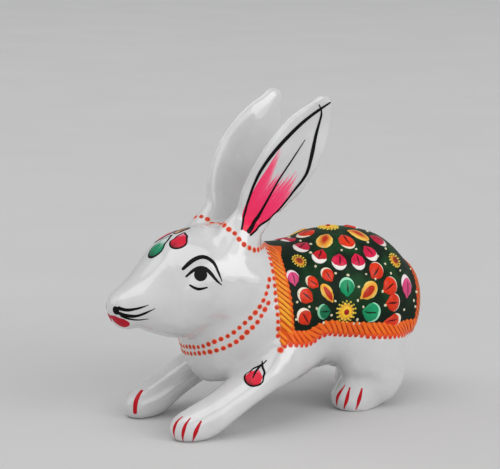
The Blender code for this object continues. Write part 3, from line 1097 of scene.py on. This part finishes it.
def strand_enamel(name, light, deep):
    """A strand: light along its crown, deep at its sides, and ruddier towards one end and near the spine."""
    material, shader = new_enamel(name)
    along, across = plan(material)
    off_axis = maths(material, "ABSOLUTE", maths(material, "SUBTRACT", across, 0.5))
    worn = swung(material, mottle(material, 0.0018), 0.16)
    side = eased(material, maths(material, "ADD", off_axis, worn), 0.31, 0.39)
    tip = maths(material, "MULTIPLY", eased(material, maths(material, "ADD", along, worn), 0.66, 0.92), 0.75)
    red = (0.85, 0.06, 0.010)
    where = node(material, "ShaderNodeTexCoord", {}).outputs["Object"]
    height = node(material, "ShaderNodeSeparateXYZ", {"Vector": where}).outputs[2]
    ruddy_from, ruddy_to = 0.043, 0.058
    high = maths(material, "MULTIPLY", eased(material, height, ruddy_from, ruddy_to), 0.65)
    mixed = blended(material, maths(material, "MULTIPLY", tint_of(material), 0.35), light, red)
    mixed = blended(material, maths(material, "MAXIMUM", high, tip), mixed, red)
    return glazed(material, shader, blended(material, side, mixed, deep), span=0.001)


def ground_enamel(cloth):
    """The cloth's dark green ground, with deep orange under the border. The lighter green in its middle is
    painted sheen.

    The edge attribute counts border widths from the nearest edge.
    """
    material, shader = new_enamel("cloth_ground", roughness=0.5, shine=0.1, coat=0.03, coat_roughness=0.25)
    tone = eased(material, mottle(material, 0.009), 0.38, 0.68)
    edge = node(material, "ShaderNodeAttribute", {}, attribute_name="edge").outputs["Fac"]
    # Painted sheen: lighter green in mottled patches, kept away from the edges.
    middle = maths(material, "MULTIPLY", tone, eased(material, edge, 1.3, 3.0))
    green = blended(material, middle, cloth.ground, cloth.sheen_green)
    colour = blended(material, eased(material, edge, 0.95, 1.0), UNDER_BORDER, green)
    return glazed(material, shader, colour, span=0.002, depth=0.00004)


def sun_enamel(name, middle, rim):
    """A sun whose colour changes towards its rim."""
    material, shader = new_enamel(name)
    frayed = maths(material, "MULTIPLY", mottle(material, 0.002), 0.25)
    out = maths(material, "ADD", away_from(material, MAP_MIDDLE), frayed)
    # On the yellow discs, the orange towards the rim is painted shade.
    colour = blended(material, eased(material, out, 0.36, 0.62), middle, rim)
    return glazed(material, shader, colour, span=0.001)


def floor_paper(stage):
    """A pale, faintly mottled floor."""
    material, shader = new_enamel("floor", roughness=0.75, shine=0.3, coat=0.0)
    tone = eased(material, mottle(material, 0.09, detail=5.0), 0.2, 0.8)
    colour = blended(material, tone, darker(stage.floor, 0.96), stage.floor)
    join_to(material, colour, shader.inputs["Base Color"])
    return material


class RABBIT_OT_body(bpy.types.Operator):
    """Turns the casting into a smooth, slightly lumpy white enamel skin"""

    bl_idname = "rabbit.body"
    bl_label = "White body"

    def execute(self, context):
        skin = context.scene.rabbit_skin
        body = bpy.data.objects.new("enamelled_body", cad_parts["rabbit"].data.copy())
        context.collection.objects.link(body)
        only(body)
        bpy.ops.object.mode_set(mode="EDIT")
        bpy.ops.mesh.select_all(action="SELECT")
        bpy.ops.mesh.remove_doubles(threshold=0.001 * MM)
        bpy.ops.object.mode_set(mode="OBJECT")
        melt = body.modifiers.new("melt", "REMESH")
        melt.mode = "VOXEL"
        melt.voxel_size = skin.grain
        even = body.modifiers.new("even", "SMOOTH")
        even.factor = 0.5
        even.iterations = skin.evenness
        apply_modifiers(body)

        pick(body, under_cloth)
        bpy.ops.mesh.vertices_smooth(factor=0.5, repeat=skin.rubbed)
        bpy.ops.object.mode_set(mode="OBJECT")

        for (forward, left, up), shift, reach in EAR_PULLS:
            for wanted in (at(forward, left, up), at(forward, -left, up)):
                places = [vertex.co.copy() for vertex in body.data.vertices]
                nearest = min(places, key=lambda place: (place - wanted).length)
                pick(body, lambda place: (place - nearest).length < MM)
                bpy.ops.transform.translate(
                    value=at(*shift), use_proportional_edit=True, proportional_edit_falloff="SMOOTH",
                    proportional_size=reach * MM,
                )
                bpy.ops.object.mode_set(mode="OBJECT")

        lumps = bpy.data.textures.new("casting_lumps", "CLOUDS")
        lumps.noise_scale = skin.lump_span
        uneven = body.modifiers.new("uneven", "DISPLACE")
        uneven.texture = lumps
        uneven.texture_coords = "LOCAL"
        uneven.strength = skin.lump
        apply_modifiers(body)
        hand_over(body, white_enamel(skin), smooth_angle=180)
        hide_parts("rabbit")
        return {"FINISHED"}


class RABBIT_OT_cloth(bpy.types.Operator):
    """Lays the cloth's green ground over the back"""

    bl_idname = "rabbit.cloth"
    bl_label = "Cloth ground"

    def execute(self, context):
        cloth = context.scene.rabbit_cloth
        surface = body_surface()
        outline = ClothOutline()
        along, round_body = CLOTH_STEPS
        bpy.ops.mesh.primitive_grid_add(x_subdivisions=along, y_subdivisions=round_body, size=2)
        ground = bpy.context.object
        spots = []
        for vertex in ground.data.vertices:
            lengthwise, sideways = 0.5 * (vertex.co.x + 1), vertex.co.y
            forward, down = outline.spot(lengthwise, abs(sideways))
            spots.append((forward, down))
            point, normal = on_cloth(surface, forward, down, 1 if sideways >= 0 else -1)
            vertex.co = point + normal * 2 * context.scene.rabbit_paint.film
        nearest = [math.inf] * len(ground.data.vertices)
        edges = ((outline.front, cloth.border), (outline.bottom, cloth.hem), (outline.rear, cloth.hem))
        for line, width in edges:
            rim = [point for side in (1, -1) for point, _ in cloth_course(surface, line, side)]
            tree = KDTree(len(rim))
            for index, point in enumerate(rim):
                tree.insert(point, index)
            tree.balance()
            for index, vertex in enumerate(ground.data.vertices):
                if line is outline.front and spots[index][1] < BORDER_START:
                    continue
                nearest[index] = min(nearest[index], tree.find(vertex.co)[2] / width)
        edge = ground.data.attributes.new("edge", "FLOAT", "POINT")
        edge.data.foreach_set("value", [min(value, 9.0) for value in nearest])
        thickness = ground.modifiers.new("thickness", "SOLIDIFY")
        thickness.thickness = 4 * context.scene.rabbit_paint.film
        thickness.offset = 1
        apply_modifiers(ground)
        pick(ground, lambda place: True)
        bpy.ops.mesh.normals_make_consistent(inside=False)
        bpy.ops.object.mode_set(mode="OBJECT")
        ground.name = "cloth_ground"
        hand_over(ground, ground_enamel(cloth))
        return {"FINISHED"}


class RABBIT_OT_border(bpy.types.Operator):
    """Lays the corded border, strand by strand"""

    bl_idname = "rabbit.border"
    bl_label = "Corded border"

    def execute(self, context):
        cloth = context.scene.rabbit_cloth
        surface = body_surface()
        outline = ClothOutline()
        draws = random.Random(5)
        front, corner = [], []
        for spot in outline.front:
            (front if spot[1] < CORNER_START else corner).append(spot)
        front = [spot for spot in front if spot[1] > BORDER_START + FIRST_STRAND]
        corner = [spot for spot in corner if spot[1] < CORNER_END]
        bottom = [spot for spot in outline.bottom if spot[0] < HEM_STRANDS_START]
        hem_pitch = context.scene.rabbit_paint.hem_pitch
        courses = (
            ("amber_strands", front, cloth.border, -1, cloth.strand),
            ("corner_strands", corner, cloth.border, -1, cloth.strand),
            ("orange_strands", bottom, cloth.hem, -1, hem_pitch),
            ("rear_strands", outline.rear, cloth.hem, 1, cloth.strand),
        )
        for name, line, border, inward, pitch in courses:
            heading = math.radians(STRAND_TURNS[name])
            places = []
            for side in (1, -1):
                course = cloth_course(surface, line, side, 0.5 * inward * border)
                for index, place in enumerate(evenly(course, pitch)):
                    twist = TOP_TWIST * max(0, 1 - index / TOP_TWISTED) if name == "amber_strands" else 0
                    slope = heading + math.radians(twist)
                    length = border / abs(math.sin(slope)) + STRAND_OVERHANG * MM
                    width = STRAND_OVERLAP * pitch * abs(math.sin(slope))
                    sway = draws.uniform(-STRAND_SWAY, STRAND_SWAY)
                    turn = Matrix.Rotation(side * slope + sway, 4, "Z")
                    places.append(place @ turn @ Matrix.Diagonal((0.5 * length, 0.5 * width, cloth.cord, 1)))
                if name == "corner_strands":
                    for forward, down, short in CORNER_STRANDS:
                        centre = cloth_seat(surface, forward, down, side, 0.5 * math.pi + heading)
                        size = Matrix.Diagonal((0.5 * short * MM, 0.5 * width, cloth.cord, 1))
                        places.append(centre @ size)
            strand = droplet(10, 12, foot=0.4)
            for way in (1, -1):
                squeeze(strand, STRAND_ENDS, way)
            piece = scattered(name, strand, places, draws, surface)
            hand_over(piece, strand_enamel(name, *STRAND_COLOURS[name]))
        return {"FINISHED"}


class RABBIT_OT_petals(bpy.types.Operator):
    """Raises the petals round the two blossoms"""

    bl_idname = "rabbit.petals"
    bl_label = "Petals"

    def execute(self, context):
        cloth = context.scene.rabbit_cloth
        surface = body_surface()
        draws = random.Random(11)
        places = {colour: [] for colour in PETAL_SIZES}
        for forward, down, petals in BLOSSOMS:
            for angle, radius, colour, growth in petals:
                places[colour] += [(*place, growth) for place in round_blossom(forward, down, angle, radius)]
        for forward, down, colour, growth, turn in LONE_PETALS:
            places[colour] += [(forward, down, side, math.radians(turn), growth) for side in (1, -1)]
        for colour, spots in places.items():
            length, width = PETAL_SIZES[colour]
            petal = droplet(16, 14, foot=0.35)
            squeeze(petal, TAPERS.get(colour, TAPERS["petal"]))
            gilt = colour in GOLD_EDGES
            if not gilt:
                press_slit(petal)
            matrices = []
            for forward, down, side, heading, growth in spots:
                grown = growth * draws.uniform(*PETAL_GROWTH)
                size = Matrix.Diagonal((0.5 * length * grown * MM, 0.5 * width * grown * MM, cloth.rise, 1))
                sway = draws.uniform(-PETAL_SWAY, PETAL_SWAY)
                turned = cloth_seat(surface, forward, down, side, heading + sway)
                matrices.append(turned @ size)
            piece = scattered(colour + "_petals", petal, matrices, draws, surface)
            if gilt:
                glaze = gold_enamel(colour + "_petal", *GOLD_EDGES[colour])
            else:
                glaze = petal_enamel(colour + "_petal", *PETAL_COLOURS[colour])
            hand_over(piece, glaze, DROPLET_ANGLE)
        return {"FINISHED"}


class RABBIT_OT_suns(bpy.types.Operator):
    """Sets the yellow suns with their hearts and their rings of grains"""

    bl_idname = "rabbit.suns"
    bl_label = "Suns"

    def execute(self, context):
        surface = body_surface()
        draws = random.Random(3)
        places = {name: [] for sort in SUN_SORTS for name in (sort + "_discs", sort + "_hearts")}
        grains = []
        for sort, (suns, disc, heart, rings) in SUN_SORTS.items():
            for forward, down, radius in suns:
                for side in (1, -1) if down else (1,):
                    centre = cloth_seat(surface, forward, down, side, 0)
                    shapes = (("_discs", disc, SUN_DISC_RISE), ("_hearts", heart, SUN_HEART_RISE))
                    for name, share, rise in shapes:
                        size = Matrix.Diagonal((share * radius * MM, share * radius * MM, rise * MM, 1))
                        places[sort + name].append(centre @ size)
                    flanks = (side,) if down else (1, -1)
                    grains += sun_grains(surface, forward, down, radius, rings, flanks, draws)
        models = (
            ("sun_discs", places["sun_discs"], sun_enamel, "sun_yellow"),
            ("small_sun_discs", places["small_sun_discs"], sun_enamel, "sun_brown"),
            ("sun_hearts", places["sun_hearts"], dot_enamel, "sun_heart"),
            ("small_sun_hearts", places["small_sun_hearts"], dot_enamel, "small_sun_heart"),
            ("sun_grains", grains, dot_enamel, "sun_grain"),
        )
        for name, spots, enamel, glaze in models:
            sides, rings = (8, 6) if name == "sun_grains" else (24, 12)
            model = droplet(sides, rings, foot=0.3)
            piece = scattered(name, model, spots, draws, surface)
            hand_over(piece, enamel(glaze, *SUN_COLOURS[glaze]), DROPLET_ANGLE)
        return {"FINISHED"}


class RABBIT_OT_seeds(bpy.types.Operator):
    """Dots the cream seeds between the petals"""

    bl_idname = "rabbit.seeds"
    bl_label = "Cream seeds"

    def execute(self, context):
        cloth = context.scene.rabbit_cloth
        surface = body_surface()
        draws = random.Random(17)
        spots = [
            (x, y, side)
            for forward, down, radius, angles in SEED_RINGS
            for angle in angles
            for x, y, side, _ in round_blossom(forward, down, angle, radius)
        ]
        spots += [(forward, down, side) for forward, down in LONE_SEEDS for side in (1, -1)]
        places = []
        for forward, down, side in spots:
            size = draws.uniform(*SEED_SIZES)
            turned = cloth_seat(surface, forward, down, side, draws.uniform(0, math.pi))
            places.append(turned @ Matrix.Diagonal((SEED_STRETCH * size * MM, size * MM, SEED_RISE * MM, 1)))
        seed = droplet(8, 6, foot=0.3)
        glaze = dot_enamel("cream_seed", cloth.cream, darker(cloth.cream, 0.85))
        piece = scattered("cream_seeds", seed, places, draws, surface)
        hand_over(piece, glaze, DROPLET_ANGLE)
        return {"FINISHED"}


class RABBIT_OT_dots(bpy.types.Operator):
    """Strings the red dots round the cloth, the neck and the roots of the ears"""

    bl_idname = "rabbit.dots"
    bl_label = "Red dots"

    def execute(self, context):
        paint = context.scene.rabbit_paint
        surface = body_surface()
        outline = ClothOutline()
        draws = random.Random(23)
        strings = {"cloth_dots": [], "necklace_dots": [], "ear_string_dots": []}
        last = CORNER_DOT[1] - CORNER_DOT_GAP
        front = [spot for spot in outline.front if BORDER_START < spot[1] < last]
        for side in (1, -1):
            for line, outward, pitch in (
                (front, FRONT_DOTS_OUT * paint.dot, paint.dot_pitch),
                (outline.bottom, HEM_DOTS_OUT * paint.dot, paint.hem_pitch),
                (outline.rear, -REAR_DOTS_OUT * paint.dot, paint.dot_pitch),
            ):
                strings["cloth_dots"].append((cloth_course(surface, line, side, outward), pitch))
            for name, courses in (("necklace_dots", NECKLACES), ("ear_string_dots", (EAR_STRING,))):
                for course in courses:
                    points = course if side == 1 else mirrored(course)
                    if name == "necklace_dots" and side == -1:
                        points = [
                            (forward, left, up - FAR_SAG * min(1, -left / FAR_SAG_REACH))
                            for forward, left, up in points
                        ]
                    hits = [surface.find_nearest(at(*point)) for point in flowing(points)]
                    strings[name].append(([(hit[0], hit[1]) for hit in hits], paint.dot_pitch))
        glaze = dot_enamel("red_dot", *DOT_COLOURS)
        for name, courses in strings.items():
            places = []
            for course, pitch in courses:
                for place in evenly(course, pitch):
                    radius = 0.5 * paint.dot * draws.uniform(*DOT_GROWTH)
                    places.append(place @ Matrix.Diagonal((DOT_STRETCH * radius, radius, DOT_RISE * MM, 1)))
            if name == "cloth_dots":
                forward, down, width = CORNER_DOT
                for side in (1, -1):
                    large = Matrix.Diagonal((0.5 * width * MM, 0.5 * width * MM, CORNER_DOT_RISE * MM, 1))
                    places.append(cloth_seat(surface, forward, down, side, 0) @ large)
            dot = droplet(10, 6, foot=0.4)
            piece = scattered(name, dot, places, draws, surface)
            hand_over(piece, glaze, DROPLET_ANGLE)
        return {"FINISHED"}


class RABBIT_OT_eyes(bpy.types.Operator):
    """Paints the brows, the lids and the pupils"""

    bl_idname = "rabbit.eyes"
    bl_label = "Eyes"

    def execute(self, context):
        paint = context.scene.rabbit_paint
        surface = body_surface()
        lines = both_sides(surface, EYE_LINES, paint.film)
        lines += both_sides(surface, ((PUPIL, (PUPIL_WIDTH, PUPIL_WIDTH)),), 1.6 * paint.film, across=12)
        hand_over(merged("eyes", lines), brushed("eye_black", paint.black))
        return {"FINISHED"}


class RABBIT_OT_muzzle(bpy.types.Operator):
    """Paints the nostrils, the whiskers and the lips"""

    bl_idname = "rabbit.muzzle"
    bl_label = "Muzzle"

    def execute(self, context):
        paint = context.scene.rabbit_paint
        surface = body_surface()
        whiskers = merged("whiskers", both_sides(surface, MUZZLE_LINES, paint.film, FAR_MUZZLE_SHIFT))
        hand_over(whiskers, brushed("whisker_black", paint.black))
        lips = merged("lips", both_sides(surface, (LIPS,), 0.8 * paint.film, across=8))
        hand_over(lips, brushed("lip_red", LIP_RED, 0.8))
        return {"FINISHED"}


class RABBIT_OT_brow_drops(bpy.types.Operator):
    """Paints the outlined drops on the brow"""

    bl_idname = "rabbit.brow_drops"
    bl_label = "Brow drops"

    def execute(self, context):
        paint = context.scene.rabbit_paint
        surface = body_surface()
        drops = [(name, points, widths) for name, (points, widths) in BROW_DROPS.items()]
        rose, rose_widths = BROW_DROPS["rose"]
        drops.append(("far_rose", shifted(mirrored(rose), FAR_DROP_SHIFT), rose_widths))
        outlines = [
            brush_line(surface, points, [width + DROP_OUTLINE for width in widths], paint.film, across=10)
            for _, points, widths in drops
        ]
        hand_over(merged("drop_outlines", outlines), brushed("outline_black", paint.black))
        glazes = {name: drop_enamel("drop_" + name, *colours) for name, colours in DROP_COLOURS.items()}
        for name, points, widths in drops:
            inner = [max(0.1, width - DROP_OUTLINE) for width in widths]
            fill = brush_line(surface, shortened(points), inner, 2.2 * paint.film, across=10)
            fill.name = name + "_drop"
            hand_over(fill, glazes[name.replace("far_", "")])
        return {"FINISHED"}


class RABBIT_OT_shoulder_leaves(bpy.types.Operator):
    """Paints the outlined leaf on each shoulder"""

    bl_idname = "rabbit.shoulder_leaves"
    bl_label = "Shoulder leaves"

    def execute(self, context):
        paint = context.scene.rabbit_paint
        surface = body_surface()
        points, widths = SHOULDER_LEAF
        wide = [width + DROP_OUTLINE for width in widths]
        broad = {"shift": FAR_LEAF_SHIFT, "steps": 48, "across": 12}
        outlines = both_sides(surface, ((points, wide),), 0.8 * paint.film, **broad)
        outlines += both_sides(surface, LEAF_STALKS, paint.film, FAR_LEAF_SHIFT)
        thickness = 4 * paint.film
        outlines += both_sides(surface, (LEAF_VEIN,), 3.4 * paint.film, FAR_LEAF_SHIFT, thickness=thickness)
        hand_over(merged("leaf_outlines", outlines), brushed("leaf_black", paint.black))
        inner = [max(0.1, width - 1.6 * DROP_OUTLINE) for width in widths]
        pales = both_sides(surface, ((shortened(points, 0.09), inner),), 2 * paint.film, **broad)
        skin = context.scene.rabbit_skin
        hand_over(merged("leaf_pales", pales), brushed("leaf_white", skin.white, 0.9))
        fills = both_sides(surface, (LEAF_FILL,), 2.8 * paint.film, **broad)
        glaze = drop_enamel("leaf_rose", *LEAF_COLOURS)
        hand_over(merged("shoulder_leaves", fills), glaze)
        return {"FINISHED"}


class RABBIT_OT_ears(bpy.types.Operator):
    """Paints the blush and the dark lines of the ears"""

    bl_idname = "rabbit.ears"
    bl_label = "Ears"

    def execute(self, context):
        paint = context.scene.rabbit_paint
        surface = body_surface()
        marks = []
        across = Vector(EAR_BLUSH_ACROSS)
        root, middle, top = Vector(EAR_BLUSH_ROOT), Vector(EAR_BLUSH_MIDDLE), Vector(EAR_BLUSH_TOP)
        for index, (spread, reach) in enumerate(EAR_BLUSH_MARKS):
            high = middle + (top - middle) * reach
            low = root + across * spread * EAR_BLUSH_ROOT_SHARE
            halfway = middle + across * spread * EAR_BLUSH_MIDDLE_SHARE
            mark = ((tuple(low), tuple(halfway), tuple(high + across * spread)), EAR_BLUSH_WIDTHS)
            film = paint.film * (0.8 + 0.07 * index)
            marks += both_sides(surface, (mark,), film, steps=90, across=8, thickness=3 * paint.film)
        hand_over(merged("ear_blush", marks), blush_enamel(paint))
        film = 3.5 * paint.film
        lines = both_sides(surface, EAR_LINES, film, steps=110, across=6, thickness=5 * paint.film)
        hand_over(merged("ear_lines", lines), brushed("ear_black", paint.black))
        return {"FINISHED"}


class RABBIT_OT_claws(bpy.types.Operator):
    """Paints the red claws"""

    bl_idname = "rabbit.claws"
    bl_label = "Claws"

    def execute(self, context):
        paint = context.scene.rabbit_paint
        surface = body_surface()
        lines = []
        far_claws = [(mirrored(points), widths) for points, widths in FAR_CLAWS]
        for points, widths in (*CLAWS, *far_claws, FAR_INNER_CLAW):
            if points[0][0] < HIND_PAW_REACH and points[0][1] < 0:
                points = shifted(points, FAR_HIND_SHIFT)
            lines.append(brush_line(surface, points, widths, paint.film))
        hand_over(merged("claws", lines), brushed("claw_red", paint.crimson, 0.8))
        return {"FINISHED"}


class RABBIT_OT_stage(bpy.types.Operator):
    """Sets the pale floor, the soft lights and the camera"""

    bl_idname = "rabbit.stage"
    bl_label = "Stage"

    def execute(self, context):
        stage = context.scene.rabbit_stage
        bpy.ops.object.select_all(action="DESELECT")
        bpy.ops.mesh.primitive_plane_add(size=FLOOR_SPAN, location=(0, 0, 0))
        floor = bpy.context.object
        floor.name = "floor"
        floor.data.materials.append(floor_paper(stage))

        world = bpy.data.worlds.new("daylight")
        world.use_nodes = True
        sky = world.node_tree.nodes["Background"]
        sky.inputs["Color"].default_value = (0.99, 0.99, 1.0, 1.0)
        sky.inputs["Strength"].default_value = stage.daylight
        context.scene.world = world

        aim = Vector(stage.aim)
        for name, placing in LAMPS.items():
            lamp(name, aim, *placing, getattr(stage, name))

        back = outward(stage.azimuth, stage.elevation)
        bpy.ops.object.camera_add(location=aim + back * stage.distance)
        camera = bpy.context.object
        camera.rotation_euler = (-back).to_track_quat("-Z", "Y").to_euler()
        camera.data.sensor_width = 36
        camera.data.lens = stage.lens
        camera.data.clip_start = 0.01
        context.scene.camera = camera
        context.scene.view_settings.view_transform = "Standard"
        return {"FINISHED"}


class RABBIT_PT_panel(bpy.types.Panel):
    """The rabbit's pieces, in the order in which they are made"""

    bl_idname = "RABBIT_PT_panel"
    bl_label = "Enamelled rabbit"
    bl_space_type = "VIEW_3D"
    bl_region_type = "UI"
    bl_category = "Rabbit"

    def draw(self, context):
        for name in SETTINGS:
            settings = getattr(context.scene, name)
            box = self.layout.box()
            for field in settings.bl_rna.properties:
                if field.identifier not in ("name", "rna_type"):
                    box.prop(settings, field.identifier)
        for operator in OPERATORS:
            self.layout.operator(operator.bl_idname)


SETTINGS = {
    "rabbit_skin": RabbitSkin,
    "rabbit_paint": RabbitPaint,
    "rabbit_cloth": RabbitCloth,
    "rabbit_stage": RabbitStage,
}
OPERATORS = (
    RABBIT_OT_body,
    RABBIT_OT_cloth,
    RABBIT_OT_border,
    RABBIT_OT_petals,
    RABBIT_OT_suns,
    RABBIT_OT_seeds,
    RABBIT_OT_dots,
    RABBIT_OT_eyes,
    RABBIT_OT_muzzle,
    RABBIT_OT_brow_drops,
    RABBIT_OT_shoulder_leaves,
    RABBIT_OT_ears,
    RABBIT_OT_claws,
    RABBIT_OT_stage,
)


def register():
    for name, settings in SETTINGS.items():
        bpy.utils.register_class(settings)
        setattr(bpy.types.Scene, name, PointerProperty(type=settings))
    for operator in OPERATORS:
        bpy.utils.register_class(operator)
    bpy.utils.register_class(RABBIT_PT_panel)


def unregister():
    bpy.utils.unregister_class(RABBIT_PT_panel)
    for operator in reversed(OPERATORS):
        bpy.utils.unregister_class(operator)
    for name, settings in reversed(SETTINGS.items()):
        delattr(bpy.types.Scene, name)
        bpy.utils.unregister_class(settings)


def main():
    register()
    bpy.ops.rabbit.body()
    bpy.ops.rabbit.cloth()
    bpy.ops.rabbit.border()
    bpy.ops.rabbit.petals()
    bpy.ops.rabbit.suns()
    bpy.ops.rabbit.seeds()
    bpy.ops.rabbit.dots()
    bpy.ops.rabbit.eyes()
    bpy.ops.rabbit.muzzle()
    bpy.ops.rabbit.brow_drops()
    bpy.ops.rabbit.shoulder_leaves()
    bpy.ops.rabbit.ears()
    bpy.ops.rabbit.claws()
    bpy.ops.rabbit.stage()


if __name__ == "__main__":
    main()
